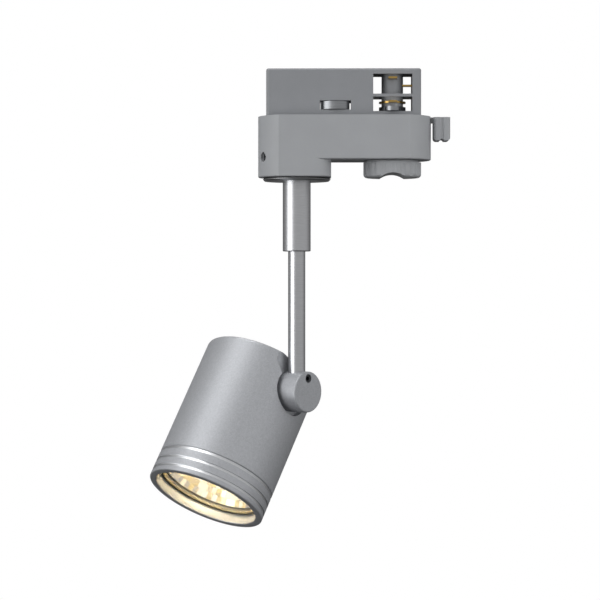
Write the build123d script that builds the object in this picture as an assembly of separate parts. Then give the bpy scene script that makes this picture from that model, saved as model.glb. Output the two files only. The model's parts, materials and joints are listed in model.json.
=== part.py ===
from build123d import *
import math
import os

# Track spotlight. Millimetres. +X runs along the track, +Y away from the front, +Z up.
# The origin is on the adapter's seat face, which meets the track, on the swivel axis.

# ---- Adapter housing -------------------------------------------------------
adapter_width = 32.0            # across the track
end_radius = 17.9               # rounded ends, cut by the two flat sides
selector_x = 44.4               # axis of the selector knob, lock lever and right end
low_depth = 20.2                # housing under the track, at the selector
tall_depth = 28.2               # housing under the track, over the stem
block_right = 16.0              # right face of the tall block
block_corner = 7.5
housing_wall = 2.0
housing_edge = 0.6              # rounding of the moulded bottom edges
rim_wall = 1.2                  # thinner wall beside the carrier's flange
flange_thickness = 2.0
flange_clearance = 0.1

# ---- Contact carrier, the part inside the track ----------------------------
carrier_width = 16.4
carrier_height = 22.0
carrier_left = -14.0
carrier_right = 57.5
carrier_wall = 1.6
window_half_length = 9.0
cam_window = (2.2, 8.9)         # heights of the two windows
phase_window = (10.2, 19.4)
earth_x = 18.0                  # middle of the earth springs
earth_half_length = 7.0
earth_reach = 9.4
earth_strip = 0.5
earth_heights = (3.2, 6.8)
lead_slot = (23.5, 30.5)        # opening in the flange for the leads, along the track

# ---- Screws of the adapter -------------------------------------------------
carrier_screw_spots = [(-9.0, 11.3), (-9.0, -11.3), (29.0, 11.3), (29.0, -11.3)]
small_screw_radius = 1.25
small_head_radius = 2.2
small_head_height = 1.2
screw_boss_radius = 2.8
screw_clearance = 0.05
carrier_screw_length = 10.0
slot_half = 0.3                 # screwdriver slots: half width, depth, half of a cross
slot_depth = 0.5
cross_half = 1.8

# ---- Swivel ----------------------------------------------------------------
swivel_range = 169.0            # each way, set by the stop post
nipple_radius = 5.0             # M10 x 1
nipple_bore = 3.0
nipple_top = -15.0
nipple_into_sleeve = 6.1
running_clearance = 0.08
still_clearance = 0.03
face_gap = 0.05
pad_radius = 15.3
pad_thickness = 0.65
disc_radius = 15.75
disc_thickness = 1.0
disc_chamfer = 0.6
stop_washer_radius = 8.0
stop_washer_thickness = 0.8
stop_tab_reach = 11.2
stop_tab_width = 2.0
stop_post_distance = 10.0
stop_post_radius = 0.8
stop_post_height = 1.4
nut_flats = 14.0
nut_thickness = 3.5
lock_screw_azimuth = 210.8      # degrees from +X, so it looks out at the left front
lock_screw_z = -19.1
lock_screw_radius = 2.0
lock_screw_recess = 1.4
lock_screw_mouth = 2.3
lock_boss_radius = 4.0
lock_boss_inner = 8.6

# ---- Stem ------------------------------------------------------------------
sleeve_radius = 6.5
sleeve_bottom = -62.4
sleeve_edge = 0.5
tube_radius = 4.0
tube_bore = 3.0

# ---- Knuckle and head attitude ---------------------------------------------
knuckle_z = -127.6
head_yaw = 49.0                 # degrees, turn of the knuckle axis from the front to the right
head_tilt = 33.0                # degrees, beam from straight down
tilt_reach = 45.0               # degrees each side of straight down that the pocket allows
knuckle_radius = 9.5
knuckle_front = 7.3             # outer face, from the stem axis
knuckle_back = 4.25             # inner face, from the stem axis
knuckle_edge = 0.7
tube_end_above = 3.6            # the tube stops this far above the knuckle axis
grub_above = 6.3
grub_radius = 2.0
grub_recess = 0.5
spigot_radius = 5.0
spigot_bore = 3.0
pivot_pad_radius = 8.6
pivot_pad_thickness = 0.5
pivot_washer_thickness = 0.8
pivot_nut_thickness = 3.0
pivot_wall = 3.2                # wall clamped by the pivot nut
spigot_past_nut = 0.7
nut_seat_radius = 8.8           # flat inside the head for the pivot washer and nut

# ---- Head ------------------------------------------------------------------
head_radius = 28.0
head_front = 59.0               # front rim, from the knuckle axis
head_back = 13.0                # rear face, from the knuckle axis
knuckle_standoff = 28.0         # knuckle axis point on the stem, from the head's own axis
pocket_radius = 11.5
tube_slot_gap = 1.5             # tube to the side of the pocket's slot
pocket_wall = 2.2
thick_wall_front = 13.5         # the thick rear wall ends this far in front of the pivot
front_bore = 25.4
rear_edge = 1.6
ring_length = 12.4
ring_seam = 0.3
ring_spigot_length = 5.0
ring_spigot_outer = 26.5
ring_spigot_inner = 25.6
ring_mouth = 24.6
lip_length = 4.8
ring_groove_from_rim = 7.2
rim_groove_from_rim = 2.8
groove_width = 0.8
groove_depth = 0.5
rim_edge = 0.5
cap_radius = 21.9
cap_thickness = 2.0
cap_clearance = 0.1
cap_screw_distance = 18.0
cap_screw_angles = [60.0, 180.0, 300.0]
cap_boss_radius = 3.2
cap_boss_front = 4.0
vent_length = 22.0
vent_width = 2.4
vent_pitch = 6.0
vent_count = 3

# ---- Lamp and lampholder ---------------------------------------------------
lamp_face_back = 5.0            # lamp face behind the front rim
lamp_radius = 25.0
lamp_rim_height = 3.4
lamp_mouth = 23.2
lamp_glass_thickness = 1.8
lamp_neck_z = 24.5
lamp_neck_outer = 11.8
lamp_neck_inner = 7.2
lamp_base_radius = 11.6
lamp_base_z = 7.5
capsule_radius = 4.6
capsule_length = 16.0
pin_pitch_radius = 5.0
pin_radius = 1.5
pin_head_radius = 2.4
pin_head = (1.0, 4.2)
lamp_twist = 25.0
holder_radius = 12.5
holder_front = 7.2
holder_back = -7.2
slot_plate_back = 4.5
chamber_back = 0.4
pin_slot_gap = 0.3
chamber_gap = 0.4
bracket_half_width = 5.0
bracket_half_length = 19.6
bracket_thickness = 1.2
bracket_screw_y = 17.2
holder_screw_y = 8.6
bracket_boss_radius = 4.2
bracket_boss_front = 9.0
m3_radius = 1.5
m3_head_radius = 2.5
m3_head_height = 1.5

# ---- Selector and lock lever -----------------------------------------------
knob_radius = 13.4
knob_height = 7.85
knob_gap = 0.25
knob_neck = (12.2, 0.8)         # radius and height of the neck under the housing
knob_groove_radius = 9.0
knob_groove_depth = 2.0
knob_flutes = 18
flute_radius = 3.0
flute_depth = 0.35
flute_stop = 0.8                # flutes end this far under the shoulder
knob_edge = 1.6
spindle_radius = 3.5
spindle_into_knob = 5.0
selector_boss_radius = 6.5
lever_slot_depth = 3.2
lever_thickness = 2.4
lever_gap = 0.4                 # under the track
lever_arm_half = 3.0
lever_slot_clearance = 0.4
lever_ring_radius = 9.0
lever_ring_opening = 10.4
hub_radius = 5.0
hub_top = 9.6
tab_inner = 18.9                # from the lever's axis
tab_outer = 26.65
tab_half_width = 6.0
tab_drop = 11.2
tab_edge = 1.5
tab_groove_radius = 1.0
tab_groove_reach = 20.0
drum_radius = 5.0
drum_heights = (9.9, 19.9)
drum_pin_radius = 2.0
contact_reach = 10.4
contact_width = 4.0
contact_thickness = 0.8
contact_root = 1.5
phase_heights = [11.5, 14.5, 17.5]
phase_angles = [90.0, 0.0, -90.0]
cam_heights = (2.4, 4.4)
cam_half_width = 3.5
neutral_heights = (6.2, 7.0)
neutral_ring_radius = 6.2

# ---- Terminal block and wires ----------------------------------------------
terminal_x = (16.8, 32.0)
terminal_half_width = 8.0
terminal_height = 12.0
terminal_port_height = 7.7      # ports above the housing floor
terminal_port_y = 5.0
terminal_port_radius = 1.1
terminal_port_depth = 6.0
terminal_screw_radius = 1.6
terminal_screw_depth = 3.0
wire_radius = 0.8
wire_offset = 1.4
wire_end_in_port = 4.0
lead_x = 27.0
lead_gap = 0.75                 # leads to the pickup strips
lead_slot_clearance = 0.6
lead_top = 9.9
lead_into_terminal = 3.0
lead_port_depth = 4.0
bend_before_port = 6.5         # adapter wires level with their ports from here
adapter_wire_bend = 1.6
stem_wire_bend = 2.6
pickup_x = (25.0, 33.0)
pickup_thickness = 0.8
pickup_heights = (8.4, 11.4)

# ---- Worked out from the values above --------------------------------------
floor_low = -low_depth + housing_wall
lead_y = carrier_width / 2 - carrier_wall - face_gap - pickup_thickness - wire_radius - lead_gap
lead_slot_half = lead_y + wire_radius + lead_slot_clearance
pocket_slot_half = tube_radius + tube_slot_gap
floor_tall = -tall_depth + housing_wall
pad_top = -tall_depth - face_gap
disc_top = pad_top - pad_thickness
disc_bottom = disc_top - disc_thickness
nipple_bottom = disc_bottom - nipple_into_sleeve
stop_washer_bottom = floor_tall + face_gap
nut_bottom = stop_washer_bottom + stop_washer_thickness
tube_top = nipple_bottom - 0.2
tube_bottom = knuckle_z + tube_end_above
pocket_floor = knuckle_standoff - knuckle_back - face_gap - pivot_pad_thickness
rear_bore = pocket_floor - pocket_wall
pivot_flat = pocket_floor - pivot_wall
spigot_end = pivot_flat - pivot_washer_thickness - pivot_nut_thickness - spigot_past_nut
ring_back = head_front - ring_length
lamp_face = head_front - lamp_face_back
lamp_glass_back = lamp_face - 0.4 - lamp_glass_thickness
bracket_front = holder_back
bracket_back = bracket_front - bracket_thickness
cap_front = -head_back + cap_thickness
knob_top = -low_depth - knob_gap
knob_bottom = knob_top - knob_height
lever_top = -lever_gap
lever_bottom = lever_top - lever_thickness
wire_level = cap_front + 0.6 + wire_radius

yaw = math.radians(head_yaw)
tilt = math.radians(head_tilt)
across = Vector(math.sin(yaw), -math.cos(yaw), 0)       # knuckle axis, out of the head
forward = Vector(-math.cos(yaw), -math.sin(yaw), 0)     # horizontal way the beam leans
beam = forward * math.sin(tilt) + Vector(0, 0, -1) * math.cos(tilt)
knuckle_centre = Vector(0, 0, knuckle_z)
head_centre = knuckle_centre - across * knuckle_standoff

# Head frame: x along the knuckle axis, z along the beam. Knuckle frame: y straight down.
head_frame = Plane(origin=head_centre, x_dir=across, z_dir=beam).location
knuckle_frame = Plane(origin=knuckle_centre, x_dir=forward, z_dir=across).location
selector_frame = Pos(selector_x, 0, 0)


# ---- Basic shapes ----------------------------------------------------------
def rod(radius, start, end):
    return Pos(0, 0, start) * Cylinder(radius, end - start, align=(Align.CENTER, Align.CENTER, Align.MIN))


def pipe(outer, inner, start, end):
    return rod(outer, start, end) - rod(inner, start, end)


def side_rod(radius, start, end):
    return Rot(0, 90, 0) * rod(radius, start, end)


def cross_rod(radius, start, end):
    return Rot(-90, 0, 0) * rod(radius, start, end)


def block(x_range, y_range, z_range):
    size = [high - low for low, high in (x_range, y_range, z_range)]
    corner = (Align.MIN, Align.MIN, Align.MIN)
    return Pos(x_range[0], y_range[0], z_range[0]) * Box(*size, align=corner)


def slab(sketch, bottom, top):
    return Pos(0, 0, bottom) * extrude(sketch, amount=top - bottom)


def hexagon_nut(flats, bore, start, end):
    outline = RegularPolygon(radius=flats / 2, side_count=6, major_radius=False)
    return slab(outline, start, end) - rod(bore, start, end)


def wire(points, bend):
    path = FilletPolyline(*points, radius=bend)
    section = Plane(origin=path @ 0, z_dir=path % 0) * Circle(wire_radius)
    return sweep(section, path=path)


def turned(points_and_arcs):
    return revolve(Plane.XZ * make_face(points_and_arcs), axis=Axis.Z, revolution_arc=360)


# ---- Adapter ---------------------------------------------------------------
def plan_outline(inset):
    width = adapter_width - 2 * inset
    radius = end_radius - inset
    body = Pos(selector_x / 2, 0) * Rectangle(selector_x, width)
    ends = Circle(radius) + Pos(selector_x, 0) * Circle(radius)
    return (body + ends) & (Pos(selector_x / 2, 0) * Rectangle(selector_x + 2 * radius, width))


def tall_outline(inset):
    width = adapter_width - 2 * inset
    radius = end_radius - inset
    right = block_right - inset
    body = Pos(right / 2, 0) * Rectangle(right, width)
    outline = (body + Circle(radius)) & (Pos(right - 30, 0) * Rectangle(60, width))
    corners = outline.vertices().sort_by(Axis.X)[-2:]
    return fillet(corners, block_corner - inset)


def lever_quadrant(clearance):
    low_x = selector_x - lever_arm_half - clearance
    low_y = -lever_arm_half - clearance
    return block((low_x, low_x + 40), (low_y, low_y + 40), (-lever_slot_depth, 1))


def lock_screw_axis(start, end, radius):
    return Pos(0, 0, lock_screw_z) * Rot(0, 0, lock_screw_azimuth) * side_rod(radius, start, end)


def adapter_housing():
    low = slab(plan_outline(0), -low_depth, 0)
    tall = slab(tall_outline(0), -tall_depth, -low_depth / 2)
    low_edges = low.edges().filter_by(Plane.XY).group_by(Axis.Z)[0]
    tall_edges = tall.edges().filter_by(Plane.XY).group_by(Axis.Z)[0]
    shell = fillet(low_edges, housing_edge) + fillet(tall_edges, housing_edge)
    shell -= slab(plan_outline(housing_wall), floor_low, 0)
    shell -= slab(tall_outline(housing_wall), floor_tall, -flange_thickness)
    shell -= slab(plan_outline(rim_wall), -flange_thickness, 0)
    shell += selector_frame * rod(selector_boss_radius, floor_low - 1, -lever_slot_depth)
    for x, y in carrier_screw_spots:
        floor = floor_tall if x < block_right else floor_low
        shell += Pos(x, y) * rod(screw_boss_radius, floor - 1, -flange_thickness)
    shell &= slab(plan_outline(0), -tall_depth - 1, 0)
    stop_post = rod(stop_post_radius, floor_tall - 1, floor_tall + stop_post_height)
    shell += Pos(-stop_post_distance, 0) * stop_post
    lock_boss = lock_screw_axis(lock_boss_inner, end_radius - housing_wall / 2, lock_boss_radius)
    shell += lock_boss
    shell -= lock_screw_axis(lock_boss_inner - 1, end_radius + 1, lock_screw_radius + still_clearance)
    shell -= lock_screw_axis(end_radius - lock_screw_recess, end_radius + 1, lock_screw_mouth)
    shell -= rod(nipple_radius + running_clearance, -tall_depth - 1, floor_tall + 1)
    shell -= selector_frame * rod(spindle_radius + running_clearance, -low_depth - 1, 0)
    for x, y in carrier_screw_spots:
        hole = small_screw_radius + screw_clearance
        shell -= Pos(x, y) * rod(hole, -carrier_screw_length - 1, 0)
    shell -= lever_quadrant(lever_slot_clearance)
    return shell


def contact_carrier():
    half = carrier_width / 2
    inner = half - carrier_wall
    flange = slab(plan_outline(rim_wall + flange_clearance), -flange_thickness, 0)
    flange -= selector_frame * rod(lever_ring_opening, -flange_thickness, 0)
    flange -= lever_quadrant(lever_slot_clearance)
    flange -= block(lead_slot, (-lead_slot_half, lead_slot_half), (-flange_thickness, 0))
    flange -= rod(nipple_radius + 1, -flange_thickness, 0)
    box = block((carrier_left, carrier_right), (-half, half), (0, carrier_height))
    box = fillet(box.edges().filter_by(Axis.Z), 1.5)
    box = fillet(box.edges().group_by(Axis.Z)[-1], 1.0)
    ends = (carrier_left + carrier_wall, carrier_right - carrier_wall)
    box -= block(ends, (-inner, inner), (0, carrier_height - carrier_wall))
    for low, high in (cam_window, phase_window):
        span = (selector_x - window_half_length, selector_x + window_half_length)
        box -= block(span, (-half - 1, half + 1), (low, high))
    earth_span = (earth_x - earth_half_length - 0.2, earth_x + earth_half_length + 0.2)
    earth_window = (earth_heights[0] - 0.3, earth_heights[1] + 0.3)
    box -= block(earth_span, (-half - 1, half + 1), earth_window)
    box -= selector_frame * rod(drum_pin_radius + running_clearance, carrier_height - 3, carrier_height + 1)
    carrier = flange + box
    for x, y in carrier_screw_spots:
        hole = small_screw_radius + screw_clearance
        carrier -= Pos(x, y) * rod(hole, -flange_thickness, 0)
        carrier -= Pos(x, y) * rod(small_head_radius + screw_clearance, -small_head_height - 0.1, 0)
    return carrier


def carrier_screws():
    top = -0.1
    screws = []
    for x, y in carrier_screw_spots:
        screw = rod(small_head_radius, top - small_head_height + 0.05, top)
        screw += rod(small_screw_radius, -carrier_screw_length, top - 0.2)
        across = (-small_head_radius, small_head_radius)
        screw -= block((-slot_half, slot_half), across, (top - slot_depth, top))
        screws.append(Pos(x, y) * screw)
    return screws


def earth_contacts():
    bottom, top = earth_heights
    start = earth_half_length - 0.5

    def bow(reach):
        root = carrier_width / 2 - carrier_wall - 0.3 - (earth_reach - reach)
        return ThreePointArc((earth_x - start, root), (earth_x, reach), (earth_x + start, root))

    outer = bow(earth_reach)
    inner = bow(earth_reach - earth_strip)
    leaf = make_face([outer, Line(outer @ 1, inner @ 1), inner, Line(inner @ 0, outer @ 0)])
    half = carrier_width / 2 - carrier_wall - 0.3
    bar = Pos(earth_x - start, 0) * Rectangle(earth_strip * 2, 2 * half)
    return slab(leaf + mirror(leaf, Plane.XZ) + bar, bottom, top)


def terminal_block():
    bottom = floor_low
    top = bottom + terminal_height
    body = block(terminal_x, (-terminal_half_width, terminal_half_width), (bottom, top))
    body = chamfer(body.edges().group_by(Axis.Z)[-1], 0.5)
    port_z = terminal_port_z()
    for y in (-terminal_port_y, terminal_port_y):
        port = side_rod(terminal_port_radius, terminal_x[0], terminal_x[0] + terminal_port_depth)
        body -= Pos(0, y, port_z) * port
        well = rod(terminal_screw_radius + still_clearance, top - terminal_screw_depth, top)
        body -= terminal_screw_place(y) * well
        body -= Pos(lead_x, math.copysign(lead_y, y)) * rod(terminal_port_radius, top - lead_port_depth, top)
    return body


def terminal_port_z():
    return floor_low + terminal_port_height


def terminal_screw_place(y):
    return Pos(terminal_x[0] + 3.2, y)


def terminal_screws():
    top = floor_low + terminal_height - 0.4
    screws = []
    for y in (-terminal_port_y, terminal_port_y):
        screw = rod(terminal_screw_radius, top - terminal_screw_depth + 0.5, top)
        screw -= block((-0.3, 0.3), (-2, 2), (top - 0.6, top))
        screws.append(terminal_screw_place(y) * screw)
    return screws


def supply_leads():
    bottom = floor_low + terminal_height - lead_into_terminal
    lead = rod(wire_radius, bottom, lead_top)
    return [Pos(lead_x, side * lead_y) * lead for side in (-1, 1)]


def pickup_contacts():
    inner = carrier_width / 2 - carrier_wall
    strips = []
    for side in (-1, 1):
        near = side * (inner - face_gap)
        far = near - side * pickup_thickness
        strips.append(block(pickup_x, (min(near, far), max(near, far)), pickup_heights))
    return strips


def swivel_lock_screw():
    outer = end_radius - lock_screw_recess
    screw = lock_screw_axis(nipple_radius + 0.3, outer, lock_screw_radius)
    socket = RegularPolygon(radius=1.0, side_count=6, major_radius=False)
    along = Pos(0, 0, lock_screw_z) * Rot(0, 0, lock_screw_azimuth) * Rot(0, 90, 0)
    return screw - along * slab(socket, outer - 2, outer)


def wire_places():
    """Places of the two wires round the stem axis: along the lean and along the knuckle axis."""
    lean = wire_offset * math.cos(tilt)
    out = -wire_offset * math.sin(tilt)
    return [(lean, out), (-lean, -out)]


def adapter_wires():
    wires = []
    for (lean, out), side in zip(wire_places(), (-1, 1)):
        start = forward * lean + across * out
        port = (terminal_x[0] + wire_end_in_port, side * terminal_port_y, terminal_port_z())
        rise = terminal_port_z()
        points = [
            (start.X, start.Y, nipple_top + face_gap),
            (start.X, start.Y, rise),
            (terminal_x[0] - bend_before_port, side * terminal_port_y, rise),
            port,
        ]
        wires.append(wire(points, adapter_wire_bend))
    return wires


# ---- Stem ------------------------------------------------------------------
def swivel_pad():
    return pipe(pad_radius, nipple_radius + still_clearance, disc_top, pad_top)


def swivel_disc():
    disc = rod(disc_radius, disc_bottom, disc_top)
    disc = chamfer(disc.edges().group_by(Axis.Z)[0], disc_chamfer)
    return disc - rod(nipple_radius + still_clearance, disc_bottom, disc_top)


def swivel_nipple():
    nipple = pipe(nipple_radius, nipple_bore, nipple_bottom, nipple_top)
    return chamfer(nipple.edges().group_by(Axis.Z)[-1].sort_by(SortBy.LENGTH)[-1:], 0.4)


def stop_washer():
    washer = rod(stop_washer_radius, stop_washer_bottom, nut_bottom)
    half = stop_tab_width / 2
    tab = block((0, stop_tab_reach), (-half, half), (stop_washer_bottom, nut_bottom))
    return washer + tab - rod(nipple_radius + still_clearance, stop_washer_bottom, nut_bottom)


def swivel_nut():
    return hexagon_nut(nut_flats, nipple_radius + still_clearance, nut_bottom, nut_bottom + nut_thickness)


def stem_sleeve():
    sleeve = rod(sleeve_radius, sleeve_bottom, disc_bottom)
    sleeve = fillet(sleeve.edges().group_by(Axis.Z)[0], sleeve_edge)
    sleeve -= rod(nipple_radius + still_clearance, nipple_bottom - 0.1, disc_bottom)
    return sleeve - rod(tube_radius + still_clearance, sleeve_bottom, disc_bottom)


def stem_tube():
    return pipe(tube_radius, tube_bore, tube_bottom, tube_top)


def knuckle_body():
    body = rod(knuckle_radius, -knuckle_back, knuckle_front)
    body = fillet(body.edges().group_by(Axis.Z)[-1], knuckle_edge)
    body += rod(spigot_radius, spigot_end - knuckle_standoff, 0)
    body -= cross_rod(tube_radius + still_clearance, -knuckle_radius - 1, -tube_end_above)
    body -= cross_rod(tube_bore, -tube_end_above - 1, tube_bore)
    body -= rod(spigot_bore, spigot_end - knuckle_standoff, 0)
    body -= Pos(0, -grub_above) * rod(grub_radius + still_clearance, 0, knuckle_front + 1)
    return knuckle_frame * body


def knuckle_grub_screw():
    outer = knuckle_front - grub_recess
    screw = rod(grub_radius, tube_radius + 0.05, outer)
    socket = RegularPolygon(radius=1.0, side_count=6, major_radius=False)
    screw -= slab(socket, outer - 1.6, outer)
    return knuckle_frame * Pos(0, -grub_above) * screw


def stem_wires():
    wires = []
    for lean, out in wire_places():
        top = forward * lean + across * out
        corner = top + Vector(0, 0, knuckle_z - out)
        mouth = corner + across * (spigot_end - knuckle_standoff - out)
        start = top + Vector(0, 0, nipple_top - face_gap)
        wires.append(wire([start, corner, mouth], stem_wire_bend))
    return wires


# ---- Head ------------------------------------------------------------------
def stem_pocket():
    """The round recess for the knuckle and the fan that the stem swings through."""
    depth = head_radius - pocket_floor + 1
    reach = head_back * 3
    lean = math.radians(tilt_reach)
    fan = Polygon((0, 0), (-reach * math.sin(lean), -reach * math.cos(lean)),
                  (0, -reach * 1.5), (reach * math.sin(lean), -reach * math.cos(lean)), align=None)
    outline = Circle(pocket_radius) + fan
    for side in (-1, 1):
        bar = Pos(0, -reach / 2) * Rectangle(2 * pocket_slot_half, reach)
        outline += Rot(0, 0, side * tilt_reach) * bar
    # The outline's own axes are the head's y and z, and it is cut along the head's x.
    place = Plane(origin=(pocket_floor, 0, 0), x_dir=(0, 1, 0), z_dir=(1, 0, 0))
    return place.location * slab(outline, 0, depth)


def head_housing():
    back = -head_back
    front = ring_back - ring_seam
    shell = rod(head_radius, back, front)
    shell = fillet(shell.edges().group_by(Axis.Z)[0], rear_edge)
    shell = chamfer(shell.edges().group_by(Axis.Z)[-1], groove_depth)
    shell -= rod(rear_bore, back, thick_wall_front)
    shell -= rod(front_bore, thick_wall_front, front)
    shell -= rod(ring_spigot_outer + running_clearance, front - ring_spigot_length - 0.3, front)
    shell -= rod(cap_radius + cap_clearance, back, cap_front)
    solid_inside = rod(rear_bore + 1, cap_front, thick_wall_front)
    pad = side_rod(nut_seat_radius, pivot_flat, pocket_floor) & solid_inside
    bosses = [Pos(0, side * bracket_screw_y) * rod(bracket_boss_radius, bracket_front, bracket_boss_front)
              for side in (-1, 1)]
    bosses += [Rot(0, 0, angle) * Pos(cap_screw_distance, 0) * rod(cap_boss_radius, cap_front, cap_boss_front)
               for angle in cap_screw_angles]
    for piece in [pad] + bosses:
        shell += piece & solid_inside
    for side in (-1, 1):
        hole = rod(m3_radius + screw_clearance, bracket_front, bracket_boss_front - 2)
        shell -= Pos(0, side * bracket_screw_y) * hole
    for angle in cap_screw_angles:
        hole = rod(small_screw_radius + screw_clearance, cap_front, cap_boss_front - 2)
        shell -= Rot(0, 0, angle) * Pos(cap_screw_distance, 0) * hole
    shell -= side_rod(nut_seat_radius, spigot_end, pivot_flat)
    shell -= side_rod(spigot_radius + running_clearance, 0, head_radius)
    shell -= stem_pocket()
    return head_frame * shell


def front_ring():
    spigot_back = ring_back - ring_seam - ring_spigot_length
    ring = rod(head_radius, ring_back, head_front)
    ring = fillet(ring.edges().group_by(Axis.Z)[-1], rim_edge)
    ring = chamfer(ring.edges().group_by(Axis.Z)[0], groove_depth)
    ring += rod(ring_spigot_outer, spigot_back, ring_back)
    for distance, width in ((ring_groove_from_rim, groove_width), (rim_groove_from_rim, groove_width / 2)):
        middle = head_front - distance
        cut = pipe(head_radius + 1, head_radius - groove_depth, middle - width / 2, middle + width / 2)
        ring -= cut
    ring -= rod(ring_mouth, spigot_back, head_front)
    ring -= rod(ring_spigot_inner, spigot_back, head_front - lip_length)
    return head_frame * ring


def rear_cap():
    cap = rod(cap_radius, -head_back, cap_front)
    cap = fillet(cap.edges().group_by(Axis.Z)[0], 0.4)
    vent = SlotOverall(vent_length, vent_width)
    for index in range(vent_count):
        shift = (index - (vent_count - 1) / 2) * vent_pitch
        cap -= Pos(shift, 0) * Rot(0, 0, 90) * slab(vent, -head_back, cap_front)
    for angle in cap_screw_angles:
        place = Rot(0, 0, angle) * Pos(cap_screw_distance, 0)
        cap -= place * rod(small_screw_radius + screw_clearance, -head_back, cap_front)
        cap -= place * rod(small_head_radius + screw_clearance, -head_back, -head_back + small_head_height)
    return head_frame * cap


def cap_screws():
    screws = []
    face = -head_back + 0.1
    for angle in cap_screw_angles:
        screw = rod(small_head_radius, face, face + small_head_height - 0.15)
        screw += rod(small_screw_radius, face, cap_boss_front - 3)
        depth = (face, face + slot_depth)
        screw -= block((-slot_half, slot_half), (-cross_half, cross_half), depth)
        screw -= block((-cross_half, cross_half), (-slot_half, slot_half), depth)
        screws.append(head_frame * Rot(0, 0, angle) * Pos(cap_screw_distance, 0) * screw)
    return screws


def pivot_pad():
    outer = pocket_floor + pivot_pad_thickness
    pad = side_rod(pivot_pad_radius, pocket_floor, outer)
    return head_frame * (pad - side_rod(spigot_radius + running_clearance, pocket_floor, outer))


def pivot_washer():
    inner = pivot_flat - pivot_washer_thickness
    washer = side_rod(stop_washer_radius, inner, pivot_flat - face_gap)
    return head_frame * (washer - side_rod(spigot_radius + running_clearance, inner, pivot_flat))


def pivot_nut():
    outer = pivot_flat - pivot_washer_thickness - face_gap
    nut = hexagon_nut(nut_flats, spigot_radius + still_clearance, outer - pivot_nut_thickness, outer)
    return head_frame * Rot(0, 90, 0) * nut


def lampholder():
    body = rod(holder_radius, holder_back, holder_front)
    body = fillet(body.edges().group_by(Axis.Z)[-1], 0.8)
    for start in (0, 180):
        sweep_arc = CenterArc((0, 0), pin_pitch_radius, start, lamp_twist)
        slot = SlotArc(sweep_arc, 2 * (pin_radius + pin_slot_gap))
        chamber = SlotArc(sweep_arc, 2 * (pin_head_radius + chamber_gap))
        body -= slab(slot, slot_plate_back, holder_front)
        body -= slab(chamber, chamber_back, slot_plate_back)
        entry = rod(pin_head_radius + chamber_gap, slot_plate_back, holder_front)
        body -= Rot(0, 0, start + lamp_twist) * Pos(pin_pitch_radius, 0) * entry
    for side in (-1, 1):
        screw_hole = rod(m3_radius + screw_clearance, holder_back, holder_back + 6)
        body -= Pos(0, side * holder_screw_y) * screw_hole
        wire_port = rod(wire_radius + 0.1, holder_back, holder_back + 4)
        body -= Pos(holder_port_x(), side * wire_offset) * wire_port
    return head_frame * body


def holder_port_x():
    return holder_radius - 4.0


def lampholder_bracket():
    half_x = bracket_half_width
    half_y = bracket_half_length
    plate = block((-half_x, half_x), (-half_y, half_y), (bracket_back, bracket_front))
    plate = fillet(plate.edges().filter_by(Axis.Z), 2.5)
    for y in (-bracket_screw_y, -holder_screw_y, holder_screw_y, bracket_screw_y):
        plate -= Pos(0, y) * rod(m3_radius + screw_clearance, bracket_back, bracket_front)
    return head_frame * plate


def bracket_screws():
    screws = []
    for y, depth in ((bracket_screw_y, bracket_boss_front - 3), (holder_screw_y, holder_back + 5)):
        for side in (-1, 1):
            screw = rod(m3_head_radius, bracket_back - m3_head_height, bracket_back)
            screw += rod(m3_radius, bracket_back, depth)
            slot_back = bracket_back - m3_head_height
            screw -= block((-0.4, 0.4), (-3, 3), (slot_back, slot_back + 0.7))
            screws.append(head_frame * Pos(0, side * y) * screw)
    return screws


def head_wires():
    wires = []
    run_x = spigot_end - spigot_past_nut - wire_radius
    for side in (-1, 1):
        y = side * wire_offset
        points = [
            (spigot_end - face_gap, y, 0),
            (run_x, y, 0),
            (run_x, y, wire_level),
            (holder_port_x(), y, wire_level),
            (holder_port_x(), y, holder_back + 3),
        ]
        wires.append(head_frame * wire(points, 1.2))
    return wires


# ---- Lamp ------------------------------------------------------------------
def lamp_reflector():
    rim_back = lamp_face - lamp_rim_height
    mouth_inner = lamp_mouth - 0.6
    outer = [
        Line((lamp_neck_inner, lamp_neck_z), (lamp_neck_outer, lamp_neck_z)),
        ThreePointArc((lamp_neck_outer, lamp_neck_z), (17.6, 35.0), (lamp_radius - 0.6, rim_back)),
        Polyline((lamp_radius - 0.6, rim_back), (lamp_radius, rim_back), (lamp_radius, lamp_face)),
        Polyline((lamp_radius, lamp_face), (lamp_mouth, lamp_face), (lamp_mouth, lamp_glass_back)),
        Line((lamp_mouth, lamp_glass_back), (mouth_inner, lamp_glass_back)),
        ThreePointArc((mouth_inner, lamp_glass_back), (15.6, 36.0), (lamp_neck_inner, lamp_neck_z + 2)),
        Line((lamp_neck_inner, lamp_neck_z + 2), (lamp_neck_inner, lamp_neck_z)),
    ]
    return head_frame * turned(outer)


def lamp_front_glass():
    glass = rod(lamp_mouth - 0.05, lamp_glass_back + 0.02, lamp_glass_back + lamp_glass_thickness)
    return head_frame * fillet(glass.edges().group_by(Axis.Z)[-1], 0.6)


def lamp_base():
    top = lamp_neck_z - 0.02
    base = rod(lamp_base_radius, lamp_base_z, top)
    base = chamfer(base.edges().group_by(Axis.Z)[0], 1.2)
    for start in (0, 180):
        hole = rod(pin_radius + still_clearance, lamp_base_z, lamp_base_z + 3)
        base -= Rot(0, 0, start) * Pos(pin_pitch_radius, 0) * hole
    return head_frame * base


def lamp_pins():
    pins = []
    for start in (0, 180):
        pin = rod(pin_radius, pin_head[1], lamp_base_z + 2.8)
        head = rod(pin_head_radius, *pin_head)
        pin += fillet(head.edges().group_by(Axis.Z)[0], 0.6)
        pins.append(head_frame * Rot(0, 0, start) * Pos(pin_pitch_radius, 0) * pin)
    return pins


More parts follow.
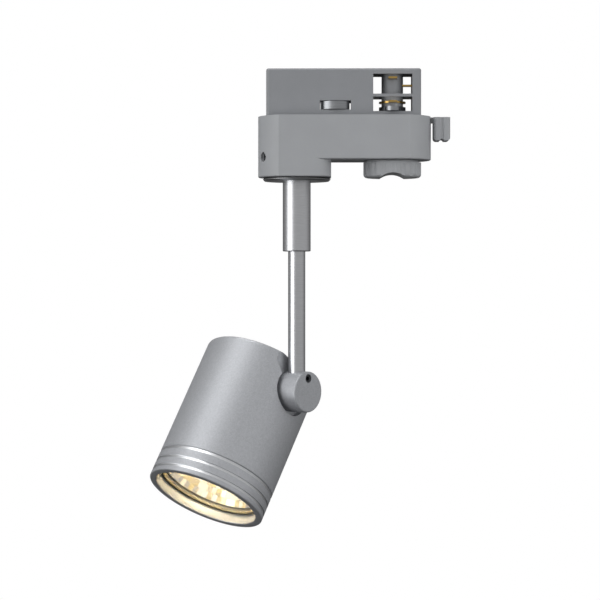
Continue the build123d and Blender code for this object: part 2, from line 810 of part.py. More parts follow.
def lamp_capsule():
    start = lamp_neck_z + 0.03
    capsule = rod(capsule_radius, start, start + capsule_length)
    capsule = fillet(capsule.edges().group_by(Axis.Z)[-1], capsule_radius - 0.4)
    seat = rod(lamp_neck_inner - 0.2, start, start + 1.6)
    return head_frame * (capsule + seat)


# ---- Selector --------------------------------------------------------------
def selector_knob():
    neck_radius, neck_height = knob_neck
    shoulder = knob_top - neck_height
    knob = rod(knob_radius, knob_bottom, shoulder)
    groove_middle = knob_bottom + knob_groove_depth - knob_groove_radius
    groove = Pos(0, 0, groove_middle) * cross_rod(knob_groove_radius, -knob_radius - 1, knob_radius + 1)
    knob = fillet(knob.edges().group_by(Axis.Z)[0], knob_edge)
    for index in range(knob_flutes):
        turn = Rot(0, 0, 360 * (index + 0.5) / knob_flutes)
        flute = rod(flute_radius, knob_bottom - 1, shoulder - flute_stop)
        knob -= turn * Pos(knob_radius + flute_radius - flute_depth, 0) * flute
    knob -= groove
    knob += rod(neck_radius, shoulder, knob_top)
    spindle_end = knob_top - spindle_into_knob
    knob -= rod(spindle_radius + still_clearance, spindle_end - 0.1, knob_top)
    return selector_frame * knob


def contact_blade(height, angle, clearance=0.0):
    half = contact_width / 2 + clearance
    blade = block((contact_root - clearance, contact_reach), (-half, half),
                  (height - contact_thickness / 2 - clearance, height + contact_thickness / 2 + clearance))
    return selector_frame * Rot(0, 0, angle) * blade


def selector_spindle():
    spindle = rod(spindle_radius, knob_top - spindle_into_knob, drum_heights[0])
    spindle += rod(drum_radius, *drum_heights)
    spindle += rod(drum_pin_radius, drum_heights[1], carrier_height - 0.4)
    spindle = selector_frame * spindle
    for height, angle in zip(phase_heights, phase_angles):
        spindle -= contact_blade(height, angle, still_clearance)
    return spindle


def phase_contacts():
    return [contact_blade(height, angle) for height, angle in zip(phase_heights, phase_angles)]


# ---- Lock lever ------------------------------------------------------------
def lock_lever():
    ring = rod(lever_ring_radius, lever_bottom, lever_top)
    arm = block((0, tab_outer - 2), (-lever_arm_half, lever_arm_half), (lever_bottom, lever_top))
    tab = block((tab_inner, tab_outer), (-tab_half_width, tab_half_width), (-tab_drop, lever_top))
    tab = fillet(tab.edges().filter_by(Axis.Z) + tab.edges().filter_by(Axis.Y).group_by(Axis.Z)[0], tab_edge)
    middle = (tab_inner + tab_outer) / 2
    for side in (-1, 1):
        notch = rod(tab_groove_radius, -tab_groove_reach, 1)
        tab -= Pos(middle, side * (tab_half_width + tab_groove_radius * 0.3)) * notch
    tab -= Pos(middle, 0, -tab_drop - tab_groove_radius * 0.3) * cross_rod(tab_groove_radius, -tab_groove_reach, tab_groove_reach)
    hub = rod(hub_radius, lever_bottom, hub_top)
    foot = rod(selector_boss_radius - 1, -lever_slot_depth + face_gap, lever_bottom)
    lever = ring + arm + tab + hub + foot
    lever -= rod(spindle_radius + running_clearance, -lever_slot_depth, hub_top)
    return selector_frame * lever


def lock_cam():
    outline = SlotOverall(2 * contact_reach, 2 * cam_half_width)
    outline += Circle(hub_radius + 1.2)
    cam = slab(Rot(0, 0, 90) * outline, *cam_heights)
    return selector_frame * (cam - rod(hub_radius + still_clearance, *cam_heights))


def neutral_contact():
    bottom, top = neutral_heights
    contact = rod(neutral_ring_radius, bottom, top)
    contact += block((-contact_width / 2, contact_width / 2), (-contact_reach, 0), (bottom, top))
    return selector_frame * (contact - rod(hub_radius + still_clearance, bottom, top))


# ---- The nodes -------------------------------------------------------------
nodes = {
    "adapter_housing": adapter_housing,
    "contact_carrier": contact_carrier,
    "carrier_screws": carrier_screws,
    "earth_contacts": earth_contacts,
    "terminal_block": terminal_block,
    "terminal_screws": terminal_screws,
    "supply_leads": supply_leads,
    "pickup_contacts": pickup_contacts,
    "swivel_lock_screw": swivel_lock_screw,
    "adapter_wires": adapter_wires,
    "swivel_pad": swivel_pad,
    "swivel_disc": swivel_disc,
    "swivel_nipple": swivel_nipple,
    "stop_washer": stop_washer,
    "swivel_nut": swivel_nut,
    "stem_sleeve": stem_sleeve,
    "stem_tube": stem_tube,
    "knuckle_body": knuckle_body,
    "knuckle_grub_screw": knuckle_grub_screw,
    "stem_wires": stem_wires,
    "head_housing": head_housing,
    "front_ring": front_ring,
    "rear_cap": rear_cap,
    "cap_screws": cap_screws,
    "pivot_pad": pivot_pad,
    "pivot_washer": pivot_washer,
    "pivot_nut": pivot_nut,
    "lampholder": lampholder,
    "lampholder_bracket": lampholder_bracket,
    "bracket_screws": bracket_screws,
    "head_wires": head_wires,
    "lamp_reflector": lamp_reflector,
    "lamp_front_glass": lamp_front_glass,
    "lamp_base": lamp_base,
    "lamp_pins": lamp_pins,
    "lamp_capsule": lamp_capsule,
    "selector_knob": selector_knob,
    "selector_spindle": selector_spindle,
    "phase_contacts": phase_contacts,
    "lock_lever": lock_lever,
    "lock_cam": lock_cam,
    "neutral_contact": neutral_contact,
}

os.makedirs("parts", exist_ok=True)
for name, make in nodes.items():
    shape = make()
    if isinstance(shape, list):
        shape = Compound(children=shape)
    export_step(shape, "parts/" + name + ".step")
    print(name, round(shape.volume, 1))
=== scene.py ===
import bpy
import json
import math
import numpy as np
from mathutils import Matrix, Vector


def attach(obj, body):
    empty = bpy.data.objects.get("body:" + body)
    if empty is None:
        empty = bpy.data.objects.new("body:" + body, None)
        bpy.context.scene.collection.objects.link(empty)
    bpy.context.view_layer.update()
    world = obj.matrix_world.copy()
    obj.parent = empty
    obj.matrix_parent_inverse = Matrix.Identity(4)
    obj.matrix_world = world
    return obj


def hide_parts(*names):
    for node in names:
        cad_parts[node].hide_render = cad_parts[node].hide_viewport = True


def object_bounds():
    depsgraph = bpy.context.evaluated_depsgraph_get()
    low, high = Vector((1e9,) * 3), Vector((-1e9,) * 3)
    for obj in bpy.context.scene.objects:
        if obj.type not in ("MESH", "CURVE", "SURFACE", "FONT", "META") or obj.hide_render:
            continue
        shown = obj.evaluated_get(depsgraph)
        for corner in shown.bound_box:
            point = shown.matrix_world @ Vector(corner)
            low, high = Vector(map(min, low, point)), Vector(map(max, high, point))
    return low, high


# Track spotlight: a silver-grey gallery spot on a thin stem, lamp lit. Metres, in the model's frame.
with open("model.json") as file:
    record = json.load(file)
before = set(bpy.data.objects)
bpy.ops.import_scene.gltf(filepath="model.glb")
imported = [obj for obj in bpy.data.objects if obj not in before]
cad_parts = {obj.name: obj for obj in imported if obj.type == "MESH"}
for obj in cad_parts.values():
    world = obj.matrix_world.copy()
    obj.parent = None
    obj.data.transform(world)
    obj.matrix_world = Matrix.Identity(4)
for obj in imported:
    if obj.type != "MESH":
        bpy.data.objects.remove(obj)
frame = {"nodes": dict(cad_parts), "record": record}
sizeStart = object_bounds()

mm = 0.001
creaseAngle = math.radians(32)    # an edge that turns by more than this stays crisp
arcSteps = 5    # straight steps in a rounded corner
joints = {joint["name"]: joint for joint in frame["record"]["behaviour"]["joints"]}


def unit(values):
    values = np.array(values, dtype=float)
    return values / np.linalg.norm(values)


acrossWay = unit(joints["head_tilt"]["axis"])
headPlace = np.array(joints["lamp_twist"]["pos_m"], dtype=float)
beamWay = unit(joints["lamp_twist"]["axis"])
upWay = np.cross(beamWay, acrossWay)

# Each place is an origin and three directions: a piece made along +Z is set down there.
headAxes = (headPlace, acrossWay, upWay, beamWay)
stemAxes = (np.zeros(3), *np.eye(3))


def setDown(points, axes):
    # place = origin + x times the first way + y times the second + z times the third
    origin, first, second, third = axes
    points = np.asarray(points, dtype=float)
    return origin + points[:, :1] * first + points[:, 1:2] * second + points[:, 2:3] * third


def facesOut(points, faces):
    # signed volume of the fan of triangles of every face; below zero means the faces point inwards
    total = 0.0
    for corners in faces:
        first = points[corners[:, 0]]
        for index in range(1, corners.shape[1] - 1):
            second, third = points[corners[:, index]], points[corners[:, index + 1]]
            total += np.einsum("ij,ij->i", first, np.cross(second, third)).sum()
    return faces if total > 0 else [corners[:, ::-1] for corners in faces]


def makePiece(name, points, faces, body, smooth=True):
    faces = facesOut(points, faces)
    mesh = bpy.data.meshes.new(name)
    mesh.from_pydata(points.tolist(), [], [face for group in faces for face in group.tolist()])
    mesh.update()
    if smooth:
        mesh.shade_smooth()
        mesh.set_sharp_from_angle(angle=creaseAngle)
    piece = bpy.data.objects.new(name, mesh)
    bpy.context.scene.collection.objects.link(piece)
    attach(piece, body)
    return piece


def gridFaces(rows, columns):
    # quads between neighbouring rows and columns; the last column joins the first
    row, column = np.meshgrid(np.arange(rows - 1), np.arange(columns), indexing="ij")
    nextColumn = (column + 1) % columns
    quads = np.stack([row * columns + column, row * columns + nextColumn,
                      (row + 1) * columns + nextColumn, (row + 1) * columns + column], axis=-1)
    return quads.reshape(-1, 4)


def roundCorners(points, radii):
    # each corner of the outline gives way to an arc tangent to both of its sides
    out = []
    count = len(points)
    points = [np.array(p, dtype=float) for p in points]
    for index, (corner, radius) in enumerate(zip(points, radii)):
        if radius <= 0:
            out.append(corner)
            continue
        before, after = unit(points[index - 1] - corner), unit(points[(index + 1) % count] - corner)
        half = 0.5 * math.acos(np.clip(before @ after, -1, 1))
        reach = radius / math.tan(half)
        centre = corner + unit(before + after) * radius / math.sin(half)
        start, end = corner + before * reach - centre, corner + after * reach - centre
        angle = math.acos(np.clip(start @ end / radius ** 2, -1, 1))
        for t in np.linspace(0, 1, arcSteps + 1):
            turn = start * math.sin((1 - t) * angle) + end * math.sin(t * angle)
            out.append(centre + turn / math.sin(angle))
    return np.array(out)


def carryRound(outline, segments):
    # each (radius, height) becomes a ring: x = radius cos(angle), y = radius sin(angle), z = height
    angle = np.linspace(0, 2 * math.pi, segments, endpoint=False)
    radius, height = outline[:, :1], outline[:, 1:]
    points = np.stack([radius * np.cos(angle), radius * np.sin(angle), height + 0 * angle], axis=-1)
    return points.reshape(-1, 3)


def turnedRing(name, outline, axes, body, segments):
    # a closed outline of (radius, height) in mm, carried once round the axis
    points = carryRound(np.asarray(outline) * mm, segments)
    rows = len(outline)
    seam = gridFaces(2, segments)
    seam = np.where(seam >= segments, seam - segments, seam + (rows - 1) * segments)
    return makePiece(name, setDown(points, axes), [gridFaces(rows, segments), seam], body)


def turnedSolid(name, outline, axes, body, segments):
    # an outline from axis to axis, carried once round it; both ends close on a single point
    outline = np.asarray(outline) * mm
    points = carryRound(outline[1:-1], segments)
    rows = len(outline) - 2
    ends = np.array([[0, 0, outline[0, 1]], [0, 0, outline[-1, 1]]])
    around = np.arange(segments)
    nextOne = (around + 1) % segments
    lastRow = (rows - 1) * segments
    first = np.stack([np.full(segments, len(points)), nextOne, around], axis=-1)
    last = np.stack([np.full(segments, len(points) + 1), lastRow + around, lastRow + nextOne], axis=-1)
    points = np.vstack([points, ends])
    return makePiece(name, setDown(points, axes), [gridFaces(rows, segments), first, last], body)


def linear(hexColour):
    # sRGB hex to linear light
    value = np.array([int(hexColour[i:i + 2], 16) / 255 for i in (1, 3, 5)])
    low = value <= 0.04045
    value = np.where(low, value / 12.92, ((value + 0.055) / 1.055) ** 2.4)
    return (*value.tolist(), 1.0)


def addNode(tree, kind, settings=None, links=None, **values):
    node = tree.nodes.new(kind)
    for key, value in (settings or {}).items():
        setattr(node, key, value)
    for key, value in values.items():
        node.inputs[key.replace("_", " ")].default_value = value
    for key, source in (links or {}).items():
        tree.links.new(source, node.inputs[key])
    return node


def newMaterial(name):
    material = bpy.data.materials.new(name)
    material.use_nodes = True
    tree = material.node_tree
    shader = tree.nodes["Principled BSDF"]
    place = addNode(tree, "ShaderNodeTexCoord").outputs["Object"]
    return material, tree, shader, place


def addBump(tree, shader, height, strength, depth):
    # depth is in mm
    bump = addNode(tree, "ShaderNodeBump", links={"Height": height}, Strength=strength, Distance=depth * mm)
    tree.links.new(bump.outputs["Normal"], shader.inputs["Normal"])


def mixColours(tree, factor, first, second):
    ramp = addNode(tree, "ShaderNodeValToRGB", links={"Fac": factor})
    ramp.color_ramp.elements[0].color = linear(first)
    ramp.color_ramp.elements[1].color = linear(second)
    return ramp


def rangeOf(tree, value, low, high):
    spread = addNode(tree, "ShaderNodeMapRange", links={"Value": value}, To_Min=low, To_Max=high)
    return spread.outputs[0]


# In the dictionaries below lengths are in mm, and bump is (strength, depth).

# Powder coat over die-cast aluminium: soft metallic glitter, slight orange peel, matt-satin.
# Real flakes are about 0.05 mm; they are drawn coarser, so that the glitter shows.
coat = {"dark": "#a0a2a6", "light": "#babcc0", "flakeSize": 0.45, "peelSize": 1.6, "peelShare": 0.35,
        "roughness": (0.42, 0.52), "metallic": 0.55, "bump": (0.12, 0.12)}


def powderCoat():
    material, tree, shader, place = newMaterial("metallic powder coat, sprayed")
    flakes = addNode(tree, "ShaderNodeTexVoronoi", links={"Vector": place},
                     Scale=1 / (coat["flakeSize"] * mm))
    peel = addNode(tree, "ShaderNodeTexNoise", links={"Vector": place},
                   Scale=1 / (coat["peelSize"] * mm), Detail=3.0)
    blend = addNode(tree, "ShaderNodeMix", {"data_type": "FLOAT"}, Factor=coat["peelShare"])
    tree.links.new(flakes.outputs["Color"], blend.inputs[2])
    tree.links.new(peel.outputs["Fac"], blend.inputs[3])
    ramp = mixColours(tree, blend.outputs[0], coat["dark"], coat["light"])
    tree.links.new(ramp.outputs["Color"], shader.inputs["Base Color"])
    tree.links.new(rangeOf(tree, flakes.outputs["Color"], *coat["roughness"]), shader.inputs["Roughness"])
    shader.inputs["Metallic"].default_value = coat["metallic"]
    addBump(tree, shader, peel.outputs["Fac"], *coat["bump"])
    return material


# Glass-filled ABS moulded against a spark-eroded tool: even grey, very fine grain.
shell = {"dark": "#949699", "light": "#a2a4a7", "grain": 0.35, "cloud": 14.0, "roughness": (0.42, 0.52)}
# Moulded carrier inside the track: flame-retardant polycarbonate, darker than the shell.
carrier = {"dark": "#7f8184", "light": "#8b8d91", "grain": 0.4, "cloud": 10.0, "roughness": (0.45, 0.55)}
# Both: mostly wide clouds with some grain over them, the grain drawn coarser than real to show at all.
moulding = {"grainShare": 0.4, "bump": (0.15, 0.08)}


def mouldedShell(name, values):
    material, tree, shader, place = newMaterial(name)
    grain = addNode(tree, "ShaderNodeTexNoise", links={"Vector": place},
                    Scale=1 / (values["grain"] * mm), Detail=2.0)
    cloud = addNode(tree, "ShaderNodeTexNoise", links={"Vector": place},
                    Scale=1 / (values["cloud"] * mm), Detail=2.0)
    blend = addNode(tree, "ShaderNodeMix", {"data_type": "FLOAT"}, Factor=moulding["grainShare"])
    tree.links.new(cloud.outputs["Fac"], blend.inputs[2])
    tree.links.new(grain.outputs["Fac"], blend.inputs[3])
    ramp = mixColours(tree, blend.outputs[0], values["dark"], values["light"])
    tree.links.new(ramp.outputs["Color"], shader.inputs["Base Color"])
    tree.links.new(rangeOf(tree, grain.outputs["Fac"], *values["roughness"]), shader.inputs["Roughness"])
    addBump(tree, shader, grain.outputs["Fac"], *moulding["bump"])
    return material


# Nickel-plated steel tube, polished in a lathe: bright with faint rings round it.
nickel = {"dark": "#b9babd", "light": "#dcdddf", "ring": 0.25, "roughness": (0.27, 0.36)}
# Bright aluminium, finely streaked: a painted highlight laid in the front ring's grooves, for the light their
# slopes catch.
turned = {"dark": "#cfd1d4", "light": "#f0f1f3", "ring": 0.25, "roughness": (0.3, 0.4)}
# Zinc plate: dull bluish white, uneven from the bath.
zinc = {"dark": "#8b8d90", "light": "#b3b5b8", "ring": 0.4, "roughness": (0.3, 0.45)}
# Black oxide, worn dry: dark grey with a soft shine.
oxide = {"dark": "#4c4e51", "light": "#66686b", "ring": 0.3, "roughness": (0.35, 0.5)}
# Stamped brass strip: yellow metal, rolled along its length.
brass = {"dark": "#b08d4a", "light": "#d6b66c", "ring": 0.3, "roughness": (0.22, 0.36)}
# Nickel on the lamp's pins: warmer and a little duller than the tube's.
pins = {"dark": "#b9b4a8", "light": "#d8d4c8", "ring": 0.3, "roughness": (0.25, 0.35)}
# All of them: a noise drawn out sideways, so that it changes almost only with height.
# The real lines are under 0.1 mm; they are drawn coarser, so that they show.
streaks = {"squeeze": (0.05, 0.05, 1.0), "bump": (0.06, 0.04)}


def streakedMetal(name, values):
    material, tree, shader, place = newMaterial(name)
    squeeze = addNode(tree, "ShaderNodeMapping", links={"Vector": place}, Scale=streaks["squeeze"])
    rings = addNode(tree, "ShaderNodeTexNoise", links={"Vector": squeeze.outputs[0]},
                    Scale=1 / (values["ring"] * mm), Detail=3.0)
    ramp = mixColours(tree, rings.outputs["Fac"], values["dark"], values["light"])
    tree.links.new(ramp.outputs["Color"], shader.inputs["Base Color"])
    tree.links.new(rangeOf(tree, rings.outputs["Fac"], *values["roughness"]), shader.inputs["Roughness"])
    shader.inputs["Metallic"].default_value = 1.0
    addBump(tree, shader, rings.outputs["Fac"], *streaks["bump"])
    return material


# Vulcanised fibre washer: black, matt, short fibres.
fibre = {"dark": "#141415", "light": "#232325", "fibre": 0.3, "roughness": 0.75, "bump": (0.3, 0.08)}


def blackFibre():
    material, tree, shader, place = newMaterial("vulcanised fibre, punched")
    strands = addNode(tree, "ShaderNodeTexNoise", links={"Vector": place},
                      Scale=1 / (fibre["fibre"] * mm), Detail=4.0)
    ramp = mixColours(tree, strands.outputs["Fac"], fibre["dark"], fibre["light"])
    tree.links.new(ramp.outputs["Color"], shader.inputs["Base Color"])
    shader.inputs["Roughness"].default_value = fibre["roughness"]
    addBump(tree, shader, strands.outputs["Fac"], *fibre["bump"])
    return material


# Steatite, fired unglazed: off-white, chalky, with fine dark specks.
steatite = {"dark": "#cfc8b8", "light": "#e6e1d4", "speck": 0.6, "roughness": 0.7, "bump": (0.15, 0.06)}
# Lamp cement, cast round the pins: greyer and coarser.
cement = {"dark": "#c2bcae", "light": "#dcd7ca", "speck": 0.9, "roughness": 0.8, "bump": (0.15, 0.06)}


def speckledCeramic(name, values):
    material, tree, shader, place = newMaterial(name)
    specks = addNode(tree, "ShaderNodeTexVoronoi", links={"Vector": place}, Scale=1 / (values["speck"] * mm))
    ramp = mixColours(tree, specks.outputs["Distance"], values["dark"], values["light"])
    tree.links.new(ramp.outputs["Color"], shader.inputs["Base Color"])
    shader.inputs["Roughness"].default_value = values["roughness"]
    addBump(tree, shader, specks.outputs["Distance"], *values["bump"])
    return material


# Glass-fibre sleeve on the leads: off-white braid, crossing strands 0.5 mm apart.
# A band texture repeats every bandPeriod / Scale metres; lean is the strands' slant in radians.
sleeve = {"dark": "#b5b0a2", "light": "#e2ddcf", "strand": 0.5, "lean": 0.7, "bandPeriod": 0.314,
          "waver": 0.5, "roughness": 0.8, "bump": (0.4, 0.1)}


def braidedSleeve():
    material, tree, shader, place = newMaterial("glass-fibre sleeve, braided")
    heights = []
    for lean in (sleeve["lean"], -sleeve["lean"]):
        turn = addNode(tree, "ShaderNodeMapping", links={"Vector": place}, Rotation=(lean, lean, 0))
        wave = addNode(tree, "ShaderNodeTexWave", {"wave_type": "BANDS", "bands_direction": "Z"},
                       {"Vector": turn.outputs[0]}, Distortion=sleeve["waver"],
                       Scale=sleeve["bandPeriod"] / (sleeve["strand"] * mm))
        heights.append(wave.outputs["Fac"])
    cross = addNode(tree, "ShaderNodeMath", {"operation": "MAXIMUM"})
    tree.links.new(heights[0], cross.inputs[0])
    tree.links.new(heights[1], cross.inputs[1])
    ramp = mixColours(tree, cross.outputs[0], sleeve["dark"], sleeve["light"])
    tree.links.new(ramp.outputs["Color"], shader.inputs["Base Color"])
    shader.inputs["Roughness"].default_value = sleeve["roughness"]
    addBump(tree, shader, cross.outputs[0], *sleeve["bump"])
    return material


# Pressed glass, vacuum coated: a warm mirror. Its panes also glow with a painted reflection of the lit
# capsule, each pane more or less of it.
# Each pane's own random value, half blended with wide patches, picks the colour of its painted reflection;
# steps are the ramp's stops.
mirrorAndPaintedReflection = {"dark": "#8d93a6", "gold": "#b39c5c", "pale": "#f8e8bc", "light": "#ffffff", "base": "#c0b492",
          "roughness": 0.08, "steps": (0.38, 0.46, 0.54, 0.66), "patch": 9.0, "patchShare": 0.5, "paintedReflectionStrength": 0.66}


def reflectorPaintedReflections():
    material, tree, shader, place = newMaterial("glass reflector, vacuum coated, painted reflections")
    pane = addNode(tree, "ShaderNodeNewGeometry").outputs["Random Per Island"]
    patches = addNode(tree, "ShaderNodeTexNoise", links={"Vector": place}, Scale=1 / (mirrorAndPaintedReflection["patch"] * mm))
    blend = addNode(tree, "ShaderNodeMix", {"data_type": "FLOAT"}, Factor=mirrorAndPaintedReflection["patchShare"])
    tree.links.new(pane, blend.inputs[2])
    tree.links.new(patches.outputs["Fac"], blend.inputs[3])
    ramp = mixColours(tree, blend.outputs[0], mirrorAndPaintedReflection["dark"], mirrorAndPaintedReflection["light"])
    stops = ramp.color_ramp.elements
    stops[0].position, stops[1].position = mirrorAndPaintedReflection["steps"][0], mirrorAndPaintedReflection["steps"][3]
    for position, name in zip(mirrorAndPaintedReflection["steps"][1:3], ("gold", "pale")):
        stops.new(position).color = linear(mirrorAndPaintedReflection[name])
    # the emission colour is a painted reflection of the lit capsule; the reflector gives no light of its own
    tree.links.new(ramp.outputs["Color"], shader.inputs["Emission Color"])
    shader.inputs["Base Color"].default_value = linear(mirrorAndPaintedReflection["base"])
    shader.inputs["Roughness"].default_value = mirrorAndPaintedReflection["roughness"]
    shader.inputs["Emission Strength"].default_value = mirrorAndPaintedReflection["paintedReflectionStrength"]
    shader.inputs["Metallic"].default_value = 1.0
    return material


# Rim of the glass bowl, left uncoated and ground: dim smoky glass round the bright panes.
rimGlass = {"dark": "#5a5340", "light": "#7a7154", "ripple": 3.0, "roughness": 0.3}


def groundRim():
    material, tree, shader, place = newMaterial("glass rim, ground")
    ripple = addNode(tree, "ShaderNodeTexNoise", links={"Vector": place}, Scale=1 / (rimGlass["ripple"] * mm))
    ramp = mixColours(tree, ripple.outputs["Fac"], rimGlass["dark"], rimGlass["light"])
    tree.links.new(ramp.outputs["Color"], shader.inputs["Base Color"])
    shader.inputs["Roughness"].default_value = rimGlass["roughness"]
    return material


# Clear borosilicate front glass: thin, nearly unseen, with faint pressing ripples.
clear = {"tint": "#f6faf8", "light": "#ffffff", "ripple": 6.0, "alpha": 0.12, "roughness": 0.03,
         "bump": (0.1, 0.1)}


def frontGlass():
    material, tree, shader, place = newMaterial("borosilicate glass, pressed")
    ripple = addNode(tree, "ShaderNodeTexNoise", links={"Vector": place}, Scale=1 / (clear["ripple"] * mm))
    ramp = mixColours(tree, ripple.outputs["Fac"], clear["tint"], clear["light"])
    tree.links.new(ramp.outputs["Color"], shader.inputs["Base Color"])
    shader.inputs["Alpha"].default_value = clear["alpha"]
    shader.inputs["Roughness"].default_value = clear["roughness"]
    addBump(tree, shader, ripple.outputs["Fac"], *clear["bump"])
    return material


# Lit quartz capsule: warm white, slightly patchy.
capsuleGlow = {"hot": "#fff6e0", "warm": "#ffe6b2", "patch": 3.0, "strength": 78.0, "roughness": 0.2}


def litCapsule():
    material, tree, shader, place = newMaterial("quartz capsule, lit")
    patches = addNode(tree, "ShaderNodeTexNoise", links={"Vector": place},
                      Scale=1 / (capsuleGlow["patch"] * mm))
    ramp = mixColours(tree, patches.outputs["Fac"], capsuleGlow["warm"], capsuleGlow["hot"])
    tree.links.new(ramp.outputs["Color"], shader.inputs["Base Color"])
    tree.links.new(ramp.outputs["Color"], shader.inputs["Emission Color"])
    shader.inputs["Emission Strength"].default_value = capsuleGlow["strength"]
    shader.inputs["Roughness"].default_value = capsuleGlow["roughness"]
    return material


materials = {
    "head_coat": powderCoat(),
    "adapter_shell": mouldedShell("ABS, moulded silver-grey", shell),
    "carrier_moulding": mouldedShell("polycarbonate, moulded mid grey", carrier),
    "contact_brass": streakedMetal("brass, stamped", brass),
    "zinc_steel": streakedMetal("steel, zinc plated", zinc),
    "black_steel": streakedMetal("steel, black oxide", oxide),
    "stem_chrome": streakedMetal("nickel-plated steel, polished", nickel),
    "friction_fibre": blackFibre(),
    "holder_ceramic": speckledCeramic("steatite, fired unglazed", steatite),
    "base_ceramic": speckledCeramic("lamp cement, cast", cement),
    "reflector_coat": reflectorPaintedReflections(),
    "rim_glass": groundRim(),
    "groove_highlight_metal": streakedMetal("aluminium, painted groove highlight", turned),
    "lamp_glass": frontGlass(),
    "capsule_glass": litCapsule(),
    "pin_nickel": streakedMetal("nickel, drawn pins", pins),
    "lead_sleeve": braidedSleeve(),
}
for row in frame["record"]["subparts"]:
    node = frame["nodes"][row["node"]]
    node.data.materials.clear()
    node.data.materials.append(materials[row["material_slot"]])
print("materials:", len(materials), "on", len(frame["nodes"]), "nodes")


def spanOf(node, axes):
    # lowest and highest point along the place's third way, and the largest radius round it, in mm
    mesh = frame["nodes"][node].data
    points = np.empty(3 * len(mesh.vertices))
    mesh.vertices.foreach_get("co", points)
    offset = points.reshape(-1, 3) - axes[0]
    height = offset @ axes[3]
    radius = np.hypot(offset @ axes[1], offset @ axes[2])
    return height.min() / mm, height.max() / mm, radius.max() / mm


def dress(piece, slot, *replaced):
    piece.data.materials.clear()
    piece.data.materials.append(materials[slot])
    if replaced:
        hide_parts(*replaced)


# Front ring, in mm: a groove is (distance of its middle from the mouth's edge, width).
# A face painted bright as a groove highlight lies at most highlightFrom below the grooves' floor, and at
# least highlightTo below the skin.
ring = {"mouth": 24.6, "lip": 4.8, "bore": 25.6, "spigot": 26.5, "spigotLength": 5.02, "groove": 0.3,
        "grooves": ((7.2, 1.3), (2.8, 1.3)), "drop": 0.1, "seamSlope": 1.3, "edge": 0.6, "soft": 0.12,
        "spigotEdge": 0.2, "lipEdge": 0.05, "brink": 0.05, "root": 0.03, "highlightFrom": 0.01, "highlightTo": 0.02,
        "segments": 240}


def makeRing():
    # outline of (radius, height), the steps of the spigot, skin, lip and bore in turn;
    # each groove drops steeply at its back and rises on a slope that catches light
    low, high, outer = spanOf("front_ring", headAxes)
    shoulder = low + ring["spigotLength"]
    lipBack = high - ring["lip"]
    floor = outer - ring["groove"]
    points = [(ring["bore"], low), (ring["spigot"], low), (ring["spigot"], shoulder),
              (floor, shoulder), (outer, shoulder + ring["seamSlope"])]
    radii = [ring["spigotEdge"], ring["spigotEdge"], 0, 0, ring["soft"]]
    for distance, width in ring["grooves"]:
        back, front = high - distance - width / 2, high - distance + width / 2
        points += [(outer, back), (floor, back + ring["drop"]), (outer, front)]
        radii += [ring["brink"], ring["root"], ring["soft"]]
    points += [(outer, high), (ring["mouth"], high), (ring["mouth"], lipBack), (ring["bore"], lipBack)]
    radii += [ring["edge"], ring["edge"], ring["soft"], ring["lipEdge"]]
    outline = roundCorners(points, radii)
    piece = turnedRing("frontRing", outline, headAxes, "front_ring", ring["segments"])
    dress(piece, "head_coat", "front_ring")

    # the faces below the outer skin, in the grooves, get bright metal: a painted highlight for the light that
    # the groove slopes catch
    piece.data.materials.append(materials["groove_highlight_metal"])
    centres = np.empty(3 * len(piece.data.polygons))
    piece.data.polygons.foreach_get("center", centres)
    offset = centres.reshape(-1, 3) - headPlace
    radius = np.hypot(offset @ acrossWay, offset @ upWay) / mm
    belowSkin = (radius > floor - ring["highlightFrom"]) & (radius < outer - ring["highlightTo"])
    highlightFaces = belowSkin & (offset @ beamWay / mm < high - 2 * ring["edge"])
    piece.data.polygons.foreach_set("material_index", highlightFaces.astype(np.int32))


makeRing()

# Swivel disc, in mm: its edge is one long bevel, so it reads as a dark line under the adapter.
disc = {"rim": 0.12, "bevel": 0.85, "bore": 5.03, "boreEdge": 0.1, "soft": 0.08, "segments": 160}


def makeDisc():
    # outline of (radius, height): up the bore, out under the bevel and over a narrow rim
    low, high, outer = spanOf("swivel_disc", stemAxes)
    inner = outer - disc["bevel"]
    points = [(disc["bore"], high), (disc["bore"], low), (inner, low),
              (outer, high - disc["rim"]), (outer, high)]
    outline = roundCorners(points, [0, disc["boreEdge"], disc["soft"], disc["soft"], 0])
    piece = turnedRing("swivelDisc", outline, stemAxes, "stem", disc["segments"])
    dress(piece, "stem_chrome", "swivel_disc")


makeDisc()
print("ring and disc made")

# Lamp, in mm. pane is a pane's thickness and paneShare how much of its cell it fills; its back
# lies pane further out and pane / paneSlope lower.
# The bowl lies paneGap wider and paneDrop lower than the panes. Its curve has bowlSteps points,
# and its back follows those of wallSteps.
lamp = {"mouth": 21.9, "neck": 7.2, "depth": 25.0, "rings": 12, "columns": 54, "pane": 0.2,
        "paneShare": 0.98, "paneSlope": 3, "paneGap": 0.3, "paneDrop": 0.1,
        "bowlSteps": 24, "wallSteps": slice(5, -2), "bowlSegments": 160, "wall": 1.6,
        "neckOuter": 11.8, "neckEdge": 0.6, "fit": 0.05, "rim": 23.2, "rimHeight": 3.4, "rimEdge": 0.6,
        "seat": 0.02, "glass": 2.2, "capsule": 4.4, "capsuleEnd": 13.5, "capsuleFoot": 0.1,
        "domeShare": 0.6, "domeSteps": 9, "capsuleSegments": 64}


def bowlCurve(top, count):
    # a parabola: height grows with the square of the radius, from the neck to the mouth
    radius = np.linspace(lamp["neck"], lamp["mouth"], count)
    share = (radius ** 2 - lamp["neck"] ** 2) / (lamp["mouth"] ** 2 - lamp["neck"] ** 2)
    return radius, top - lamp["depth"] * (1 - share)


